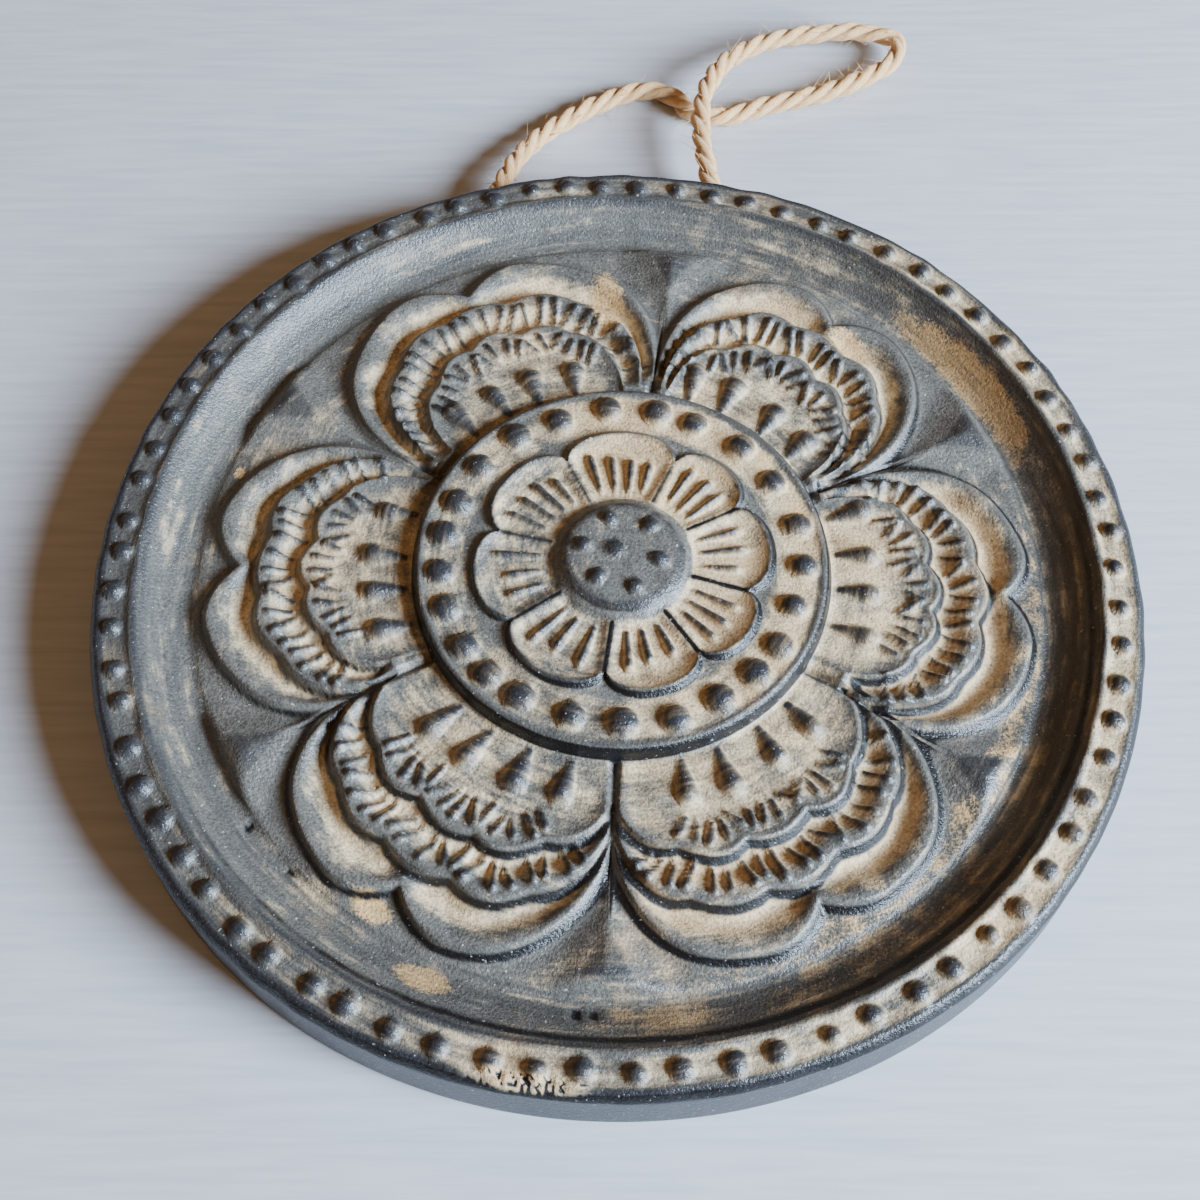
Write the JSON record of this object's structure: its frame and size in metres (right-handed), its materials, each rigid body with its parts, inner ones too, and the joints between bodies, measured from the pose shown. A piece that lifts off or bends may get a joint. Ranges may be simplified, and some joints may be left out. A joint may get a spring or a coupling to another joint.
{
  "type": "decorative wall plaque",
  "caption": "Round cast wall plaque with a carved petalled flower on a raised medallion, scalloped outer petals, a plain cove, a beaded rim and a loop of jute twine to hang it by.",
  "frame": {"origin": "centre of the flat back, where the plaque rests against the wall", "axes": "+Z out of the carved face, +Y towards the hanging twine, +X to the right seen from the carved face"},
  "size_m": [0.1218, 0.1563, 0.0111],
  "materials": {
    "casting": "graphite-grey satin wash over tan cast stone, rubbed back to tan and cream in the hollows",
    "jute": "natural golden jute, twisted, with loose hairs"
  },
  "bodies": {
    "root": {"plaque": "casting", "twine": "jute"}
  },
  "joints": []
}
